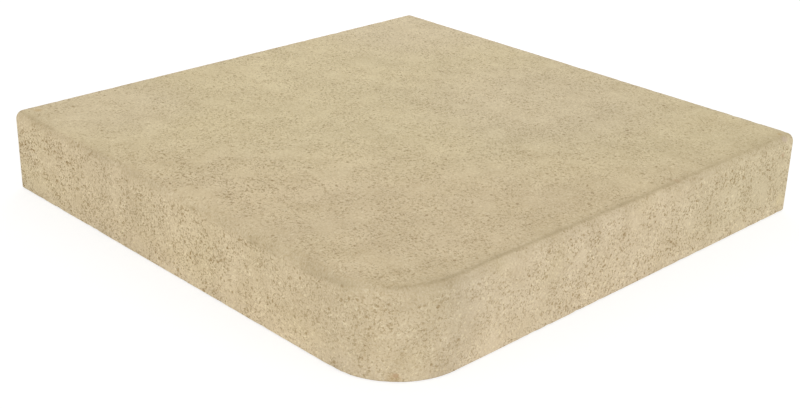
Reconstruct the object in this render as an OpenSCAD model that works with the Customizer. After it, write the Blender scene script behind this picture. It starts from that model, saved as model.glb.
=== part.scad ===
// Corner tile for an outside stair corner, fired in one piece from clinker clay.
// A square tread turns down into a nose along two neighbouring sides, and the two
// noses run into each other round a vertical corner.
// Lengths are in millimetres. The tile stands on the feet of its noses, with the
// origin on the floor below the middle of the square. The noses face -Y and +X.

/* [Tread] */
// Length of each side of the square, measured over the nose
side = 330; // [280:5:400]
// Thickness of the tread, from its walking surface to its bed face
tread_t = 15; // [12:0.5:20]
// Radius of the vertical corner where the two noses meet
corner_r = 42; // [32:1:80]
// Radius of the opposite corner of the tread, seen from above
back_r = 3; // [3:0.5:8]

/* [Nose] */
// Height of the nose, from its foot to the walking surface
nose_h = 50; // [40:1:80]
// Thickness of the nose at its foot
nose_t = 15; // [12:0.5:20]
// Draft of the inner face of the nose, in degrees
nose_draft = 2; // [0:0.5:4]
// Radius of the arris between the walking surface and the outer face
arris_r = 5; // [3:0.5:8]
// Radius of the fillet between the bed face and the inner face
root_r = 6; // [3:0.5:10]
// Radius of the eased edges at the feet and along the two cut sides
ease_r = 1.5; // [0.5:0.25:2.5]

/* [Keying grooves] */
// Width of a groove at the bed face
groove_w = 8; // [5:0.5:11]
// Depth of a groove
groove_depth = 2; // [1:0.25:3]
// Slope of the groove's flanks away from upright, in degrees
groove_slope = 30; // [0:5:35]
// Distance from the middle of one groove to the middle of the next
groove_pitch = 16; // [14:1:24]
// Plain strip left between the grooves and the nose roots
groove_margin = 10; // [6:1:20]

/* [Hidden] */
$fn = 96;
clinker_beige = [0.79, 0.73, 0.60];
// How far a cut reaches past the surface that it opens
over = 1;
// Height of the bed face, on the underside of the tread
bed_z = nose_h - tread_t;
// Distance from the middle of the square to the axis of the rounded corner
corner_c = side / 2 - corner_r;
// Middle of the root fillet in the nose section
root_c = [inner_face_x(bed_z - root_r) - root_r / cos(nose_draft), bed_z - root_r];
// Middle of the eased inner edge of the foot in the nose section
foot_c = [inner_face_x(ease_r) + ease_r / cos(nose_draft), ease_r];
// Direction that the inner face of the nose looks in, in the nose section
inner_normal = [-cos(nose_draft), -sin(nose_draft)];
// Where the flat bed face ends beside a nose
bed_edge = corner_c + root_c[0];
// How much narrower a groove is on each side at its full depth
groove_taper = groove_depth * tan(groove_slope);
// The grooves share what is left of the bed face, with the rest split at its two edges
groove_room = bed_edge + side / 2 - 2 * groove_margin - groove_w;
groove_count = floor(groove_room / groove_pitch) + 1;
groove_first = (groove_room - (groove_count - 1) * groove_pitch) / 2
    + groove_margin + groove_w / 2 - bed_edge;

// Distance from the corner axis to the inner face of the nose at height z
function inner_face_x(z) = corner_r - nose_t - z * tan(nose_draft);

// Makes a shape for the -Y side and its mirror image for the +X side
module on_both_sides() {
    children();
    mirror([1, 1, 0]) children();
}

// Section that rounds off a square edge at the origin of a body in x > 0, y > 0
module edge_cut(r) {
    difference() {
        translate([-over, -over]) square(r + over);
        translate([r, r]) circle(r);
    }
}

// Fillet between the bed face and the inner face of the nose
module root_fillet() {
    difference() {
        polygon([
            [root_c[0], bed_z],
            root_c,
            root_c - root_r * inner_normal,
            [inner_face_x(bed_z), bed_z]
        ]);
        translate(root_c) circle(root_r);
    }
}

// Wall of the nose, with a rounded inner edge at its foot
module nose_wall() {
    polygon([
        foot_c + ease_r * inner_normal,
        foot_c,
        [foot_c[0], 0],
        [corner_r, 0],
        [corner_r, nose_h],
        [inner_face_x(nose_h), nose_h]
    ]);
    translate(foot_c) circle(ease_r);
}

// Section across a nose: x is the distance out from the corner axis, y is the height
module nose_section() {
    difference() {
        union() {
            translate([0, bed_z]) square([corner_r, tread_t]);
            root_fillet();
            nose_wall();
        }
        translate([corner_r, nose_h]) rotate(180) edge_cut(arris_r);
        translate([corner_r, 0]) mirror([1, 0]) edge_cut(ease_r);
    }
}

// Straight nose along one side, as far as the rounded corner
module nose_run() {
    translate([corner_c, -corner_c, 0])
        rotate([90, 0, -90])
        linear_extrude(side - corner_r) nose_section();
}

// The same section turned a quarter round the corner axis
module nose_turn() {
    translate([corner_c, -corner_c, 0])
        rotate(-90)
        rotate_extrude(angle = 90) nose_section();
}

// Flat tread behind the two noses
module tread() {
    translate([-side / 2, -corner_c, bed_z])
        cube([side - corner_r, side - corner_r, tread_t]);
}

// Eased edge of a cut side: along the tread, over the arris and down the nose
module end_ease() {
    translate([-side / 2, arris_r - side / 2, nose_h])
        rotate([-90, 0, 0])
        linear_extrude(side - arris_r - back_r) edge_cut(ease_r);
    translate([-side / 2, arris_r - side / 2, nose_h - arris_r])
        rotate([0, -90, 180])
        rotate_extrude(angle = 90)
        translate([arris_r, 0]) mirror([1, 0]) edge_cut(ease_r);
    translate([-side / 2, -side / 2, -over])
        linear_extrude(nose_h - arris_r + over) edge_cut(ease_r);
}

// Rounded back corner of the tread, with the eased edge carried round it
module back_corner_cut() {
    translate([-side / 2, side / 2, bed_z - over])
        mirror([0, 1, 0])
        linear_extrude(tread_t + 2 * over) edge_cut(back_r);
    translate([back_r - side / 2, side / 2 - back_r, nose_h])
        rotate(90)
        rotate_extrude(angle = 90)
        translate([back_r, 0]) rotate(180) edge_cut(ease_r);
}

// Keying groove, open at the cut side and round at its inner end
module groove() {
    rotate([90, 0, 90])
        linear_extrude(bed_edge + side / 2 + over - groove_margin - groove_w / 2)
        polygon([
            [-groove_w / 2, -over],
            [groove_w / 2, -over],
            [groove_w / 2, 0],
            [groove_w / 2 - groove_taper, groove_depth],
            [groove_taper - groove_w / 2, groove_depth],
            [-groove_w / 2, 0]
        ]);
    translate([bed_edge + side / 2 + over - groove_margin - groove_w / 2, 0, 0]) {
        cylinder(d1 = groove_w, d2 = groove_w - 2 * groove_taper, h = groove_depth);
        translate([0, 0, -over]) cylinder(d = groove_w, h = over);
    }
}

// All the grooves in the bed face
module keying_grooves() {
    for (i = [0 : groove_count - 1])
        translate([-side / 2 - over, groove_first + i * groove_pitch, bed_z]) groove();
}

// The whole tile
module corner_tile() {
    color(clinker_beige)
        difference() {
            union() {
                tread();
                on_both_sides() nose_run();
                nose_turn();
            }
            on_both_sides() end_ease();
            back_corner_cut();
            keying_grooves();
        }
}

corner_tile();
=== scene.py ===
# %% [markdown]
# # A clinker corner tile
# Clinker is stoneware clay with sand and crushed fired clay in it, pressed or extruded and fired until
# it is dense. This tile covers the outside corner of a stair: a square tread whose two outer sides turn
# down into a nose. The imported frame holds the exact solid. This lesson gives it the skin of a real one:
# a surface that isn't quite even, worn edges, a speckled fired face and a raw back.
# Everything is in metres, in the frame's own axes: the noses face -Y and +X, and the floor is at 0.

# %% Load the frame
from math import cos, floor, pi, radians, sin, sqrt, tan

import bpy
from mathutils import Matrix, Vector


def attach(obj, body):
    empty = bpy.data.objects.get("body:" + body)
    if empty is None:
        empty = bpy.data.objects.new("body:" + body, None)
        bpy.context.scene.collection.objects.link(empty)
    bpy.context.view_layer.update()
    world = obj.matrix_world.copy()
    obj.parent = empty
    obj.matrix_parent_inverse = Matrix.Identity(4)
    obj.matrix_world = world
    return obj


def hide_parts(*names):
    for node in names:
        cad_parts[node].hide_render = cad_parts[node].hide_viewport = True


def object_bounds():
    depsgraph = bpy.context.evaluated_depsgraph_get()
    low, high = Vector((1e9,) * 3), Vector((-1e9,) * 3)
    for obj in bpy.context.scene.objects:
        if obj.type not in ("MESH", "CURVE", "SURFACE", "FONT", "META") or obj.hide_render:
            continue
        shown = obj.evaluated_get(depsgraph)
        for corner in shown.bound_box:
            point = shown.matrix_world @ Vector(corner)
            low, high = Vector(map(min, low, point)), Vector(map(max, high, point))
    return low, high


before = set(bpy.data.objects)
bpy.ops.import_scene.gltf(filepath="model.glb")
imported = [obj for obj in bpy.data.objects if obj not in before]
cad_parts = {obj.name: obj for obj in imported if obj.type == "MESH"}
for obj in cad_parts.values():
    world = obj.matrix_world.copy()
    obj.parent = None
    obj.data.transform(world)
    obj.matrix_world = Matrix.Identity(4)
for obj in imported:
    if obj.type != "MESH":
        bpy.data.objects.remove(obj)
cad_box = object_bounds()
print("solid tile reaches from", [round(v, 4) for v in cad_box[0]], "to", [round(v, 4) for v in cad_box[1]])

# %% [markdown]
# ## The camera
# The tile was photographed from just above one corner with a moderate telephoto lens. The direction,
# the distance and the small roll of the camera come from fitting the tile's outline. A camera looks
# along its own -Z axis, so its three axes are built from the direction that leads back to it, and
# they become the columns of its matrix.

# %% Set up the camera
picture_width = 800
camera_azimuth = radians(45.585)
camera_elevation = radians(23.832)
camera_roll = radians(1.480)
camera_distance = 0.8401
focal_pixels = 1372.8
aim = Vector((0.0003, -0.0017, -0.0031))


def set_up_camera():
    """Puts the camera on the line through the aim point, and rolls it about that line."""
    back = Vector((
        sin(camera_azimuth) * cos(camera_elevation),
        -cos(camera_azimuth) * cos(camera_elevation),
        sin(camera_elevation),
    ))
    right = Vector((0, 0, 1)).cross(back).normalized()
    up = back.cross(right)
    rolled_right = right * cos(camera_roll) + up * sin(camera_roll)
    rolled_up = up * cos(camera_roll) - right * sin(camera_roll)
    camera = bpy.data.objects.new("camera", bpy.data.cameras.new("camera"))
    axes = Matrix((rolled_right, rolled_up, back)).transposed()
    camera.matrix_world = Matrix.Translation(aim + back * camera_distance) @ axes.to_4x4()
    camera.data.sensor_width = 36.0
    camera.data.lens = camera.data.sensor_width * focal_pixels / picture_width
    bpy.context.scene.collection.objects.link(camera)
    bpy.context.scene.camera = camera
    return camera


camera = set_up_camera()
print("camera stands at", [round(v, 3) for v in camera.location], "with a lens of", round(camera.data.lens, 1))

# %% [markdown]
# ## Sums of sockets
# The shape of the skin and the finish are both rules: sums, products and limits of a few distances.
# Written as nodes, such a rule is hard to read, so one small class lets a node's socket stand in a
# Python sum. Each sum adds the Math node that it needs. The same class works in a shader and in a
# Geometry Nodes tree, because both take the same Math nodes.

# %% A socket that can be summed


class Wire:
    """One output socket of a node tree."""

    def __init__(self, tree, socket=None):
        self.tree = tree
        self.socket = socket

    def node(self, kind, settings=None, sockets=None, out=0):
        """Adds a node: its settings first, then the values or wires of its sockets."""
        made = self.tree.nodes.new(kind)
        for name, value in (settings or {}).items():
            setattr(made, name, value)
        for name, value in (sockets or {}).items():
            if isinstance(value, Wire):
                self.tree.links.new(value.socket, made.inputs[name])
            else:
                made.inputs[name].default_value = value
        return Wire(self.tree, made.outputs[out]) if made.outputs else made

    def out(self, name):
        """Another output of the node that this wire comes from."""
        return Wire(self.tree, self.socket.node.outputs[name])

    def math(self, operation, *values, clamp=False):
        sockets = dict(enumerate(values))
        return self.node("ShaderNodeMath", {"operation": operation, "use_clamp": clamp}, sockets)

    def __add__(self, other):
        return self.math("ADD", self, other)

    def __radd__(self, other):
        return self.math("ADD", other, self)

    def __sub__(self, other):
        return self.math("SUBTRACT", self, other)

    def __rsub__(self, other):
        return self.math("SUBTRACT", other, self)

    def __mul__(self, other):
        return self.math("MULTIPLY", self, other)

    def __rmul__(self, other):
        return self.math("MULTIPLY", other, self)

    def __truediv__(self, other):
        return self.math("DIVIDE", self, other)

    def __neg__(self):
        return self.math("MULTIPLY", self, -1.0)

    def __abs__(self):
        return self.math("ABSOLUTE", self)

    def root(self):
        return self.math("SQRT", self)

    def least(self, other):
        return self.math("MINIMUM", self, other)

    def most(self, other):
        return self.math("MAXIMUM", self, other)

    def whole(self):
        """The nearest whole number."""
        return self.math("ROUND", self)

    def over(self, limit):
        """1 where this is greater than the limit, otherwise 0."""
        return self.math("GREATER_THAN", self, limit)

    def ramp(self, low, high):
        """Runs smoothly from 0 at low to 1 at high."""
        settings = {"interpolation_type": "SMOOTHSTEP"}
        return self.node("ShaderNodeMapRange", settings, {"Value": self, "From Min": low, "From Max": high})

    def line(self, low, high):
        """Runs straight from 0 at low to 1 at high, and no further."""
        return self.node("ShaderNodeMapRange", None, {"Value": self, "From Min": low, "From Max": high})

    def colour(self, low, high):
        """Mixes from the colour low to the colour high."""
        return self.node("ShaderNodeMix", {"data_type": "RGBA"}, {0: self, 6: low, 7: high}, out=2)


print("sockets can be summed")

# %% [markdown]
# ## The sizes
# The skin follows the same drawing as the solid, so the drawing's sizes are named once more here, and
# the overall ones come from the frame. They become the named inputs of the tree that folds the tile.
# The function below works out where the underside's section bends. It is used on plain numbers here
# and on wires in the tree, because both take the same signs.

# %% Name the sizes
mm = 0.001
inner_draft = radians(2)
groove_slope = radians(30)
groove_margin = 10 * mm
sizes = {
    "Side": cad_box[1][0] - cad_box[0][0],
    "Nose height": cad_box[1][2] - cad_box[0][2],
    "Tread thickness": 15 * mm,
    "Nose thickness": 15 * mm,
    "Arris radius": 5 * mm,
    "Root radius": 6 * mm,
    "Corner radius": 42 * mm,
    "Back corner radius": 3 * mm,
    "Eased radius": 1.5 * mm,
    "Groove width": 8 * mm,
    "Groove depth": 2 * mm,
    "Groove pitch": 16 * mm,
}


def bends(size):
    """Distances from the outer face at which the underside's section changes."""
    nose, eased, root = size["Nose thickness"], size["Eased radius"], size["Root radius"]
    root_height = size["Nose height"] - size["Tread thickness"] - root
    foot_middle = nose + eased * (tan(inner_draft) - 1 / cos(inner_draft))
    root_middle = nose + root_height * tan(inner_draft) + root / cos(inner_draft)
    inner_low = foot_middle + eased * cos(inner_draft)
    inner_high = root_middle - root * cos(inner_draft)
    return foot_middle, inner_low, inner_high, root_middle


half = sizes["Side"] / 2
foot_middle, inner_low, inner_high, root_middle = bends(sizes)
groove_half = sizes["Groove width"] / 2
groove_taper = sizes["Groove depth"] * tan(groove_slope)
groove_room = sizes["Side"] - root_middle - 2 * groove_margin - sizes["Groove width"]
groove_count = floor(groove_room / sizes["Groove pitch"]) + 1
spare = groove_room - (groove_count - 1) * sizes["Groove pitch"]
sizes["First groove"] = root_middle - half + groove_margin + groove_half + spare / 2
sizes["Last groove"] = sizes["First groove"] + (groove_count - 1) * sizes["Groove pitch"]
sizes["Groove tip"] = half - root_middle - groove_margin - groove_half
print("the underside has", groove_count, "grooves; its bed begins", round(root_middle / mm, 1), "mm in")

# %% [markdown]
# ## The gauge
# A tile this plain can be folded from a box. The box's grid lines are moved so that they lie close
# together where the section bends and where a groove has an edge, and wide apart on the flats. A
# toolmaker would call such a list of distances a gauge. Here it is a mesh of loose points, like the
# marks on a set square: first the marks along X, then the marks along Y. The tree reads it by number.

# %% Mark the gauge
widest_step = 2.2 * mm
closest_step = 0.06 * mm


def arc_marks(middle, radius, start, end, steps):
    """Marks at even angles round one of the section's circles."""
    return [middle - radius * cos(start + (end - start) * i / steps) for i in range(steps + 1)]


def even_marks(low, high, steps):
    return [low + (high - low) * i / steps for i in range(steps + 1)]


def fill_gaps(marks):
    """Drops marks that nearly touch, and adds even ones wherever a gap is too wide."""
    kept = []
    for mark in sorted(marks):
        if kept and mark - kept[-1] < closest_step:
            continue
        if kept:
            steps = int((mark - kept[-1]) / widest_step) + 1
            kept += even_marks(kept[-1], mark, steps)[1:-1]
        kept.append(mark)
    return kept


arris, eased, root = sizes["Arris radius"], sizes["Eased radius"], sizes["Root radius"]
nose_marks = arc_marks(arris, arris, 0, pi / 2, 9) + [arris + 0.5 * mm]
nose_marks += arc_marks(eased, eased, 0, pi / 2, 3)
nose_marks += arc_marks(foot_middle, eased, pi / 2, pi - inner_draft, 4)
nose_marks += even_marks(inner_low, inner_high, 8)
nose_marks += arc_marks(root_middle, root, inner_draft, pi / 2, 6) + [root_middle + 0.6 * mm]
cut_marks = arc_marks(eased, eased, 0, pi / 2, 4) + [sizes["Back corner radius"]]
groove_marks = []
for number in range(groove_count):
    middle = sizes["First groove"] + number * sizes["Groove pitch"]
    for reach in (groove_half, groove_half - groove_taper):
        groove_marks += [middle - reach, middle + reach]
tip_marks = [sizes["Groove tip"] + reach * groove_half for reach in (0, 0.35, 0.6, 0.75, 0.88, 1)]

marks_x = fill_gaps([half - d for d in nose_marks] + [d - half for d in cut_marks] + tip_marks)
marks_y = fill_gaps([d - half for d in nose_marks] + [half - d for d in cut_marks] + groove_marks)
gauge = bpy.data.meshes.new("gauge")
gauge.from_pydata([(x, 0, 0) for x in marks_x] + [(0, y, 0) for y in marks_y], [], [])
print("the gauge has", len(marks_x), "marks along X and", len(marks_y), "along Y")

# %% [markdown]
# ## The folding rules
# The section of the nose is the same everywhere, also round the corner, so the height of the skin
# depends on two distances only: how far a point is from the outer face, and how far it is from the
# nearest cut side. The box is closed, and so is what is folded from it by moving its points. That is
# why this way was chosen over joining separate sheets, whose seams would have to be closed.

# %% Write the rules


def drop(distance, radius):
    """How far a round edge lies below its flat, at a distance from the edge's outer side."""
    reach = radius - distance.least(radius)
    return radius - (radius * radius - reach * reach).most(0).root()


def pull_round(along, across, radius):
    """Turns a square corner, where both offsets are positive, into a quarter circle."""
    outer = along.most(across)
    in_corner = along.least(across).over(0)
    length = (along * along + across * across).root().most(0.01 * mm)
    squeeze = 1 + in_corner * (outer / length - 1)
    return along * squeeze, across * squeeze, radius - outer


def groove_rise(size, x, y):
    """How deep the keying grooves are cut into the bed face at a point."""
    pitch = size["Groove pitch"]
    number = ((y - size["First groove"]) / pitch).whole()
    nearest = (size["First groove"] + number * pitch).most(size["First groove"]).least(size["Last groove"])
    beside = y - nearest
    beyond = (x - size["Groove tip"]).most(0)
    away = (beside * beside + beyond * beyond).root()
    return (size["Groove width"] / 2 - away).line(0, groove_taper) * size["Groove depth"]


def lower_sheet(size, from_face):
    """Height of the underside without its grooves: foot, inner face, root fillet and bed face."""
    eased, root = size["Eased radius"], size["Root radius"]
    foot_middle, inner_low, inner_high, root_middle = bends(size)
    past_foot = (from_face - foot_middle).most(0).least(inner_low - foot_middle)
    inner_edge = eased - (eased * eased - past_foot * past_foot).most(0).root()
    climb = (from_face.most(inner_low).least(inner_high) - inner_low) / tan(inner_draft)
    before_root = (root_middle - from_face).least(root_middle - inner_high).most(0)
    fillet = (root * root - before_root * before_root).most(0).root() - root * sin(inner_draft)
    return drop(from_face, eased) + inner_edge + climb + fillet


print("the inner face runs from", round(inner_low / mm, 2), "to", round(inner_high / mm, 2), "mm behind the outer face")

# %% [markdown]
# ## The uneven skin
# Clay shrinks by a tenth when it is dried and fired, and it is never quite even afterwards: flats
# wave a little, and edges lose grains when the tile is handled. Both are small moves inward along the
# surface, so the tile stays within its gauge. Noise in the tile's own coordinates makes them, and
# the distances that the folding rules stored say where the edges are.

# %% The folding tree
box_rows = 21
relief = {"Unevenness": 0.22 * mm, "Ripple": 0.07 * mm, "Edge wear": 0.45 * mm}


def store(bench, geometry, name, value):
    """Keeps a value on every point under a name, for later steps and for the finish."""
    sockets = {"Geometry": geometry, "Name": name, "Value": value}
    return bench.node("GeometryNodeStoreNamedAttribute", {"data_type": "FLOAT", "domain": "POINT"}, sockets)


def recall(bench, name):
    return bench.node("GeometryNodeInputNamedAttribute", {"data_type": "FLOAT"}, {"Name": name})


def noise(bench, place, scale, detail=2.0, distortion=0.0, kind="FBM", out=0):
    """Noise with about that many blobs to the metre."""
    sockets = {"Vector": place, "Scale": scale, "Detail": detail, "Distortion": distortion}
    return bench.node("ShaderNodeTexNoise", {"noise_type": kind}, sockets, out)


def fold(bench, entry, size, box):
    """Moves the box's points to the gauge and to the section, and stores the two distances."""
    here = bench.node("GeometryNodeInputPosition")
    split = bench.node("ShaderNodeSeparateXYZ", None, {"Vector": here})

    def mark(offset, count, number, axis):
        index = ((number + 0.5) * (count - 1)).whole() + offset
        settings = {"data_type": "FLOAT_VECTOR"}
        sockets = {"Geometry": entry.out("Gauge"), "Value": here, "Index": index}
        found = bench.node("GeometryNodeSampleIndex", settings, sockets)
        return bench.node("ShaderNodeSeparateXYZ", None, {"Vector": found}, axis)

    x = mark(0, len(marks_x), split.out("X"), "X")
    y = mark(len(marks_x), len(marks_y), split.out("Y"), "Y")
    level = split.out("Z") + 0.5
    nose_axis = size["Side"] / 2 - size["Corner radius"]
    cut_axis = size["Side"] / 2 - size["Back corner radius"]
    right, front, from_face = pull_round(x - nose_axis, -y - nose_axis, size["Corner radius"])
    left, back, from_cut = pull_round(-x - cut_axis, y - cut_axis, size["Back corner radius"])
    at_back_corner = left.least(back).over(0)
    folded_x = right + nose_axis + at_back_corner * (-left - cut_axis - x)
    folded_y = -front - nose_axis + at_back_corner * (back + cut_axis - y)

    set_back = drop(from_cut, size["Eased radius"])
    inward = set_back * (1 - from_face.line(0, 2 * size["Arris radius"]))
    at_right = right.over(front)
    folded_x = folded_x - inward * at_right
    folded_y = folded_y + inward * (1 - at_right)
    from_skin = from_face - set_back * from_face.line(0, 2 * size["Arris radius"])
    top = size["Nose height"] - set_back - drop(from_skin, size["Arris radius"] - set_back)
    bottom = lower_sheet(size, from_face) + groove_rise(size, x, y)
    height = bottom + (top - bottom) * level

    raw_back = (1 - level.line(0, 0.01)) * from_face.ramp(inner_low - 1.5 * mm, inner_low + 0.5 * mm)
    tile = store(bench, box, "from_face", from_face)
    tile = store(bench, tile, "from_cut", from_cut)
    tile = store(bench, tile, "raw_back", raw_back)
    spot = bench.node("ShaderNodeCombineXYZ", None, {"X": folded_x, "Y": folded_y, "Z": height})
    return bench.node("GeometryNodeSetPosition", None, {"Geometry": tile, "Position": spot})


def make_uneven(bench, size, tile):
    """Moves the skin inward by slow waves, a fine ripple and worn edges."""
    here = bench.node("GeometryNodeInputPosition")
    height = bench.node("ShaderNodeSeparateXYZ", None, {"Vector": here}, "Z")
    near_foot = (1 - recall(bench, "from_face").ramp(0, 3 * mm)) * (1 - height.ramp(0, 3 * mm))
    near_cut = 1 - recall(bench, "from_cut").ramp(0, 2.5 * mm)
    edge = (near_foot + near_cut).least(1)
    nibble = noise(bench, here, 130, 3).ramp(0.5, 0.75)
    depth = noise(bench, here, 13) * size["Unevenness"] + noise(bench, here, 95, 3) * size["Ripple"]
    depth = depth + edge * nibble * size["Edge wear"]
    normal = bench.node("GeometryNodeInputNormal")
    offset = bench.node("ShaderNodeVectorMath", {"operation": "SCALE"}, {0: normal, "Scale": -depth})
    return bench.node("GeometryNodeSetPosition", None, {"Geometry": tile, "Offset": offset})


def fold_tree(finish):
    """The whole tree: a box, folded, made uneven and given its finish."""
    tree = bpy.data.node_groups.new("fold_tile", "GeometryNodeTree")
    tree.interface.new_socket("Gauge", in_out="INPUT", socket_type="NodeSocketGeometry")
    tree.interface.new_socket("Tile", in_out="OUTPUT", socket_type="NodeSocketGeometry")
    for name in [*sizes, *relief]:
        tree.interface.new_socket(name, in_out="INPUT", socket_type="NodeSocketFloat")
    bench = Wire(tree)
    entry = bench.node("NodeGroupInput")
    size = {name: entry.out(name) for name in [*sizes, *relief]}
    counts = {"Vertices X": len(marks_x), "Vertices Y": len(marks_y), "Vertices Z": box_rows + 1}
    box = bench.node("GeometryNodeMeshCube", None, {"Size": (1, 1, 1), **counts})
    tile = make_uneven(bench, size, fold(bench, entry, size, box))
    tile = bench.node("GeometryNodeRealizeInstances", None, {"Geometry": tile})
    tile = bench.node("GeometryNodeSetMaterial", None, {"Geometry": tile, "Material": finish})
    bench.node("NodeGroupOutput", None, {"Tile": tile})
    return tree


print("rules are written")

# %% [markdown]
# ## The fired clay
# Clinker isn't glazed, so its colour is the clay's own: a sandy beige that drifts between pinkish and
# yellow green with the heat that each place got. The grains in it do the rest. Iron in the clay melts
# into dark brown flecks, pale grains of crushed clay show between them, and where a grain was dragged
# or fell out, a short curved pit is left. Each kind gets its own function that returns a mask between
# 0 and 1, and the finish mixes colours and builds its relief from the same masks, so that a pit is
# dark and deep in one place.
# Some light and shade are painted into the colour as well: the dark colour of the pits, shade over the rounded arris,
# and light and shade on the noses and the tread.

# %% Clay colours
sandy_beige = (0.707, 0.570, 0.349, 1)
pinkish_beige = (0.705, 0.567, 0.353, 1)
greenish_beige = (0.701, 0.583, 0.350, 1)
# The dark brown of the iron flecks, also used as painted shade in the pits.
iron_and_pit_shade_brown = (0.264, 0.148, 0.022, 1)
pale_grain = (0.860, 0.740, 0.500, 1)
ochre_spot = (0.520, 0.330, 0.120, 1)
rust_brown = (0.480, 0.260, 0.140, 1)
lilac_clay = (0.640, 0.500, 0.440, 1)
# The brown of the dark arris line and of the painted shade on the rounded arris.
arris_line_and_shade_brown = (0.440, 0.345, 0.195, 1)
ashen_beige = (0.698, 0.577, 0.371, 1)
nose_beige = (0.697, 0.568, 0.368, 1)
milky_beige = (0.688, 0.567, 0.386, 1)
mossy_beige = (0.668, 0.567, 0.371, 1)
foot_beige = (0.677, 0.566, 0.405, 1)
raw_clay = (0.545, 0.462, 0.325, 1)
kiln_dust = (0.670, 0.595, 0.455, 1)


def clusters(bench, place, scale, low, high):
    """Where a kind of grain gathers: 0 outside a cluster and 1 inside it."""
    return noise(bench, place, scale, 3).ramp(low, high)


def specks(bench, place, scale, low, high):
    """Irregular specks: the peaks of a noise."""
    return noise(bench, place, scale, 2, 0.7).ramp(low, high)


def strokes(bench, place, scale, width):
    """Short curved strokes: the middle lines of a noise, broken up by a second noise."""
    line = 1 - (abs(noise(bench, place, scale, 1.0, 0.8) - 0.5) / width).least(1)
    broken = noise(bench, place, scale * 1.9, 1.0).ramp(0.47, 0.56)
    return line * broken


def grains(bench, place, scale, share, radius):
    """Round grains, one in each cell, in a share of the cells."""
    sockets = {"Vector": place, "Scale": scale}
    cell = bench.node("ShaderNodeTexVoronoi", {"feature": "F1"}, sockets, "Distance")
    lot = bench.node("ShaderNodeSeparateColor", None, {"Color": cell.out("Color")}, "Red")
    chosen = (share - lot).over(0)
    return (1 - cell / radius).line(0, 0.45) * chosen


def stain(bench, place, middle, radius):
    """A soft patch round a foreign grain that coloured the clay."""
    away = bench.node("ShaderNodeVectorMath", {"operation": "DISTANCE"}, {0: place, 1: middle}, "Value")
    return 1 - away.ramp(0.3 * radius, radius)


def wavy(bench, place, scale, amount):
    """The place moved about by noise, so that round grains become irregular."""
    push = noise(bench, place, scale, 1.0, out="Color")
    push = bench.node("ShaderNodeVectorMath", {"operation": "SUBTRACT"}, {0: push, 1: (0.5, 0.5, 0.5)})
    sockets = {0: push, 1: (amount, amount, amount), 2: place}
    return bench.node("ShaderNodeVectorMath", {"operation": "MULTIPLY_ADD"}, sockets)


def stored(bench, name):
    """A value that the folding tree stored on the points."""
    return bench.node("ShaderNodeAttribute", {"attribute_name": name}, None, "Fac")


def drag_lines(bench, place):
    """Fine lines along the grooves, where the soft clay was dragged over the die."""
    drawn_out = bench.node("ShaderNodeVectorMath", {"operation": "MULTIPLY"}, {0: place, 1: (0.05, 1, 1)})
    return noise(bench, drawn_out, 420, 3) - 0.5


# %% The finish of the tile
rusty_patch = Vector((-0.005, -0.150, 0.050))
ashen_patches = [
    (Vector((0.030, 0.090, 0.050)), 105 * mm),
    (Vector((-0.140, -0.120, 0.050)), 75 * mm),
    (Vector((-0.140, 0.140, 0.050)), 90 * mm),
]
stains = [
    (Vector((0.1530, -0.1525, 0.0020)), 5.0 * mm, ochre_spot, 0.30),
    (Vector((0.1534, -0.1520, 0.0041)), 1.8 * mm, rust_brown, 0.45),
    (Vector((0.1590, 0.1576, 0.0500)), 2.4 * mm, ochre_spot, 0.50),
    (Vector((0.1640, 0.1560, 0.0490)), 3.6 * mm, lilac_clay, 0.50),
    (Vector((0.1650, 0.1542, 0.0392)), 2.2 * mm, rust_brown, 0.35),
    (Vector((-0.1573, -0.1536, 0.0500)), 3.2 * mm, ochre_spot, 0.45),
    (Vector((0.1610, 0.0515, 0.0500)), 2.6 * mm, rust_brown, 0.35),
    (Vector((0.1650, 0.1585, 0.0088)), 7.0 * mm, greenish_beige, 0.60),
]


def arris_line_and_painted_shade(bench, place, split, across):
    """A dark line along the arris with a soft band beside it, and painted shade over the rounded arris."""
    to_right = split.out("X") + split.out("Y")
    on_right = to_right.ramp(-12 * mm, 4 * mm)
    near_corner = (split.out("X") - split.out("Y")).ramp(200 * mm, 285 * mm)
    sinks = split.out("X").line(-160 * mm, 87 * mm)
    rises = to_right.ramp(-75 * mm, 36 * mm)
    waver = (noise(bench, place, 60, 3) - 0.5) * (2.4 * mm)
    middle = 2 * mm - sinks * (7.5 * mm) + rises * (9.2 * mm) + waver
    middle = middle - split.out("Y").line(-100 * mm, 20 * mm) * (0.8 * mm)
    line = 1 - (abs(across - middle) / (2.3 * mm)).least(1)
    shoulder = 1 - (abs(across - middle - 2.5 * mm) / (7 * mm)).least(1)
    broken = noise(bench, place, 26, 2).ramp(0.30, 0.55).most(on_right * 0.75)
    grainy = 0.55 + noise(bench, place, 240, 2) * 0.9
    faint = 1 - abs(split.out("X") + 40 * mm).ramp(20 * mm, 75 * mm)
    faint = faint.most(1 - abs(to_right + 5 * mm).ramp(12 * mm, 42 * mm))
    strength = 0.65 - 0.45 * faint + 0.65 * on_right - 0.75 * split.out("Y").ramp(20 * mm, 130 * mm)
    line = (line * strength * grainy + shoulder * 0.35) * broken
    # Painted shade: these two bands darken the rounded arris, which the lamps light more than the flats.
    shade = (1 - (abs(across - 0.6 * mm) / (5.5 * mm)).least(1)) * (0.20 + 0.12 * near_corner - 0.15 * faint)
    painted_round_shade = (1 - (abs(across + 2.2 * mm) / (3.6 * mm)).least(1)) * (0.40 - 0.25 * faint)
    return (line + shade + painted_round_shade).least(1.25)


def shaded(bench, colour, amount):
    """Clay lighter or darker by an amount: its blue changes most, so dark clay is browner too."""
    step = bench.node("ShaderNodeVectorMath", {"operation": "SCALE"}, {0: (0.81, 1.08, 1.60), "Scale": amount})
    step = bench.node("ShaderNodeVectorMath", {"operation": "ADD"}, {0: step, 1: (1, 1, 1)})
    return bench.node("ShaderNodeVectorMath", {"operation": "MULTIPLY"}, {0: colour, 1: step})


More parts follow.
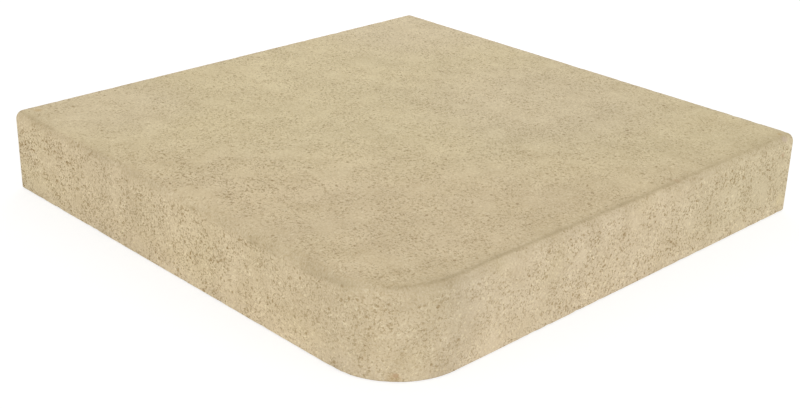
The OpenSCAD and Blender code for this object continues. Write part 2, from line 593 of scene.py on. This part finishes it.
def clinker_finish():
    material = bpy.data.materials.new("fired_clinker")
    material.use_nodes = True
    material.node_tree.nodes.clear()
    bench = Wire(material.node_tree)
    place = bench.node("ShaderNodeTexCoord", out="Object")
    split = bench.node("ShaderNodeSeparateXYZ", None, {"Vector": place})
    crooked = wavy(bench, place, 500, 1.4 * mm)
    on_side = 1 - stored(bench, "from_face").least(stored(bench, "from_cut")).ramp(0.5 * mm, 5 * mm)
    to_right = split.out("X") + split.out("Y")
    to_front = split.out("X") - split.out("Y")
    on_right = to_right.ramp(-12 * mm, 4 * mm)
    near_corner = to_front.ramp(190 * mm, 285 * mm)
    on_turn = to_front.ramp(262 * mm, 296 * mm)
    far_left = 1 - split.out("X").line(-165 * mm, -80 * mm)
    far_ends = abs(to_right).ramp(150 * mm, 290 * mm)

    body = noise(bench, place, 30, 2).ramp(0.35, 0.65).colour(pinkish_beige, sandy_beige)
    body = (1 - to_front.ramp(10 * mm, 175 * mm)).colour(body, greenish_beige)
    for middle, radius in ashen_patches:
        body = (stain(bench, place, middle, radius) * 0.8).colour(body, ashen_beige)
    flank = to_right.ramp(-20 * mm, 60 * mm).colour(nose_beige, milky_beige)
    flank = (noise(bench, place, 24, 2).ramp(0.45, 0.75) * 0.35).colour(flank, greenish_beige)
    flank = (to_right.ramp(170 * mm, 290 * mm) * 0.9).colour(flank, mossy_beige)
    flank = (far_left * (1 - split.out("Z").ramp(4 * mm, 30 * mm)) * 0.8).colour(flank, greenish_beige)
    flank = ((1 - split.out("Z").ramp(0, 16 * mm)) * 0.4).colour(flank, foot_beige)
    body = on_side.colour(body, flank)
    cloud = (noise(bench, place, 70, 4) - 0.5) * (0.16 + 0.02 * on_side)
    tone_and_painted_light = cloud + (noise(bench, place, 20, 1) - 0.5) * 0.14
    # Painted light and shade on the noses: near the floor they are lighter, most on the left nose toward the corner,
    # and a little darker at the far left end, fading out 26 mm up; the turn of the corner is darker all the way up.
    foot = 0.125 * split.out("X").line(-165 * mm, 60 * mm) - 0.03
    foot = foot * (1 - 0.5 * on_turn - 0.4 * to_right.ramp(40 * mm, 100 * mm))
    tone_and_painted_light = tone_and_painted_light + on_side * (foot * (1 - split.out("Z").ramp(0, 26 * mm)) - on_turn * 0.10)
    # Painted light: the left nose is a little lighter toward the corner.
    tone_and_painted_light = tone_and_painted_light + on_side * (1 - on_right) * split.out("X").ramp(0, 70 * mm) * 0.02
    # Painted light and shade on the tread and the bed: darker toward the front corner and toward the right, lighter
    # toward the left.
    tone_and_painted_light = tone_and_painted_light - (1 - on_side) * (to_front.ramp(20 * mm, 240 * mm) * 0.03 + to_right * 0.10)
    rough_sand = noise(bench, place, 1050, 2) - 0.5
    across = stored(bench, "from_face") - sizes["Nose height"] + split.out("Z")
    wiped = 1 - 0.30 * (1 - abs(across).ramp(4 * mm, 6.5 * mm))
    crowd = clusters(bench, place, 55, 0.24, 0.54) * wiped
    crowd = crowd * (0.79 - 0.16 * far_ends + (0.25 + 0.16 * far_ends + 0.42 * far_left - 0.34 * near_corner) * on_side)
    crowd = crowd * (1 + 0.45 * stain(bench, place, rusty_patch, 65 * mm) * (1 - on_side))

    pits_and_painted_pit_shade = strokes(bench, crooked, 430, 0.055) * crowd
    iron = specks(bench, crooked, 560, 0.575, 0.67) * crowd
    iron = iron.most(grains(bench, crooked, 240, 0.10, 0.26))
    pale = specks(bench, place, 620, 0.55, 0.68) * (0.60 + 0.30 * on_side) * wiped
    ochre = grains(bench, crooked, 95, 0.06, 0.28) * (1 - split.out("Z").ramp(4 * mm, 12 * mm))

    colour = (pale * 0.70).colour(body, pale_grain)
    # Painted shade: the pits are coloured dark brown where shade would lie in them; the bump below sinks them.
    colour = (pits_and_painted_pit_shade * 0.78).colour(colour, iron_and_pit_shade_brown)
    colour = (iron * (0.66 - 0.10 * on_side)).colour(colour, iron_and_pit_shade_brown)
    colour = (ochre * 0.6).colour(colour, ochre_spot)
    for middle, radius, tint, strength in stains:
        colour = (stain(bench, crooked, middle, radius) * strength).colour(colour, tint)
    # The dark arris line and the painted shade on the rounded arris are mixed in here.
    colour = (arris_line_and_painted_shade(bench, place, split, across) * 0.45).colour(colour, arris_line_and_shade_brown)
    raw_back = stored(bench, "raw_back")
    dragged = drag_lines(bench, place) * raw_back * split.out("Z").ramp(30 * mm, 34 * mm)
    raw = (noise(bench, place, 26, 3).ramp(0.40, 0.68) * 0.7).colour(raw_clay, kiln_dust)
    colour = (raw_back * 0.8).colour(colour, raw)
    colour = shaded(bench, colour, cloud + rough_sand * (0.45 + 0.07 * on_side - 0.10 * on_right * on_side))
    # The random tone and the painted light and shade of the noses and the tread scale the colour here.
    colour = bench.node("ShaderNodeVectorMath", {"operation": "SCALE"}, {0: colour, "Scale": 1 + tone_and_painted_light + dragged * 0.5})

    relief_height = noise(bench, place, 600, 4) * (0.12 * mm) + pale * (0.05 * mm)
    relief_height = relief_height - pits_and_painted_pit_shade * (0.20 * mm) - iron * (0.12 * mm) + dragged * (0.30 * mm)
    bump = bench.node("ShaderNodeBump", None, {"Strength": 0.8, "Distance": 1.0, "Height": relief_height})
    rough = 0.78 + noise(bench, place, 160, 2) * 0.16 - iron * 0.2
    sockets = {"Base Color": colour, "Roughness": rough, "Normal": bump, "IOR": 1.45}
    skin = bench.node("ShaderNodeBsdfPrincipled", None, sockets)
    bench.node("ShaderNodeOutputMaterial", None, {"Surface": skin})
    return material


finish = clinker_finish()
print("the finish has", len(finish.node_tree.nodes), "nodes")

# %% [markdown]
# ## Growing the tile
# The tree runs once on the gauge, and its result is taken as a plain mesh. Flats and round edges are
# shaded smooth, and only edges that turn by more than 38 degrees stay sharp, such as a groove's.

# %% Grow the skin


def grow(name, start, tree, values):
    """Runs a tree on a starting mesh and returns the result as a plain mesh object."""
    seed = bpy.data.objects.new(name + "_seed", start)
    bpy.context.scene.collection.objects.link(seed)
    modifier = seed.modifiers.new("tree", "NODES")
    modifier.node_group = tree
    for item in tree.interface.items_tree:
        if item.name in values:
            modifier[item.identifier] = values[item.name]
    grown = seed.evaluated_get(bpy.context.evaluated_depsgraph_get())
    mesh = bpy.data.meshes.new_from_object(grown)
    bpy.data.objects.remove(seed)
    made = bpy.data.objects.new(name, mesh)
    bpy.context.scene.collection.objects.link(made)
    return made


tile = grow("tile_skin", gauge, fold_tree(finish), {**sizes, **relief})
tile.data.shade_smooth()
tile.data.set_sharp_from_angle(angle=radians(38))
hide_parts("corner_tile")
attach(tile, "root")
triangles = sum(len(face.vertices) - 2 for face in tile.data.polygons)
print("the skin has", triangles, "triangles")

# %% [markdown]
# ## Light and floor
# The tile was lit from all round, as in a light tent. The world gives most of the light, and four
# large soft lamps stand in a ring: one before each nose, a weak one before the corner and one behind.
# The one to the right is the strongest, so the right nose is slightly brighter than the left.
# The floor is pale. The camera sees it as white, apart from the tile's soft shadow, because the part
# of its material that only camera, glossy and transmission rays meet adds a glow. The floor's light on
# the tile isn't changed by that, but the tile's gloss reflects the glow, and sees the world at strength 1.

# %% Floor
floor_size = 4.0
floor_grey = (0.80, 0.80, 0.79, 1)


def seen_directly(bench):
    """1 for rays that show the background itself: from the camera, off gloss or through glass."""
    rays = bench.node("ShaderNodeLightPath", out="Is Camera Ray")
    return rays.most(rays.out("Is Glossy Ray")).most(rays.out("Is Transmission Ray"))


def floor_finish():
    material = bpy.data.materials.new("pale_floor")
    material.use_nodes = True
    material.node_tree.nodes.clear()
    bench = Wire(material.node_tree)
    plain = bench.node("ShaderNodeBsdfDiffuse", None, {"Color": floor_grey})
    faint = bench.node("ShaderNodeBsdfDiffuse", None, {"Color": (0.42, 0.42, 0.42, 1)})
    glow = bench.node("ShaderNodeEmission", None, {"Color": (1, 1, 1, 1), "Strength": 0.70})
    shown = bench.node("ShaderNodeAddShader", None, {0: faint, 1: glow})
    mixed = bench.node("ShaderNodeMixShader", None, {0: seen_directly(bench), 1: plain, 2: shown})
    bench.node("ShaderNodeOutputMaterial", None, {"Surface": mixed})
    return material


def lay_floor():
    reach = floor_size / 2
    mesh = bpy.data.meshes.new("floor")
    corners = [(-reach, -reach, 0), (reach, -reach, 0), (reach, reach, 0), (-reach, reach, 0)]
    mesh.from_pydata(corners, [], [(0, 1, 2, 3)])
    mesh.materials.append(floor_finish())
    floor_piece = bpy.data.objects.new("floor", mesh)
    bpy.context.scene.collection.objects.link(floor_piece)


lay_floor()
print("floor laid,", floor_size, "m wide")

# %% Lamps
world_light = 0.67
lamps = {
    "right_lamp": (Vector((1.30, 0.10, 0.35)), 0.9, 3.8),
    "left_lamp": (Vector((-0.10, -1.30, 0.35)), 0.9, 3.0),
    "corner_lamp": (Vector((1.00, -1.00, 0.30)), 0.9, 1.6),
    "back_lamp": (Vector((-0.75, 0.75, 0.35)), 0.7, 3.4),
}


def hang_lamp(name, stand, width, power):
    """Stands a round soft lamp at a place, aimed at the tile."""
    lamp = bpy.data.objects.new(name, bpy.data.lights.new(name, "AREA"))
    lamp.data.shape = "DISK"
    lamp.data.size = width
    lamp.data.energy = power
    toward_tile = (-stand).to_track_quat("-Z", "Y")
    lamp.matrix_world = Matrix.Translation(stand) @ toward_tile.to_matrix().to_4x4()
    bpy.context.scene.collection.objects.link(lamp)


def light_world():
    world = bpy.data.worlds.new("studio")
    bpy.context.scene.world = world
    world.use_nodes = True
    world.node_tree.nodes.clear()
    bench = Wire(world.node_tree)
    light = bench.node("ShaderNodeBackground", None, {"Color": (1, 1, 1, 1), "Strength": world_light})
    white = bench.node("ShaderNodeBackground", None, {"Color": (1, 1, 1, 1), "Strength": 1.0})
    mixed = bench.node("ShaderNodeMixShader", None, {0: seen_directly(bench), 1: light, 2: white})
    bench.node("ShaderNodeOutputWorld", None, {"Surface": mixed})


for name, (stand, width, power) in lamps.items():
    hang_lamp(name, stand, width, power)
light_world()
bpy.context.scene.view_settings.view_transform = "Standard"
print(len(lamps), "lamps and a world of strength", world_light)
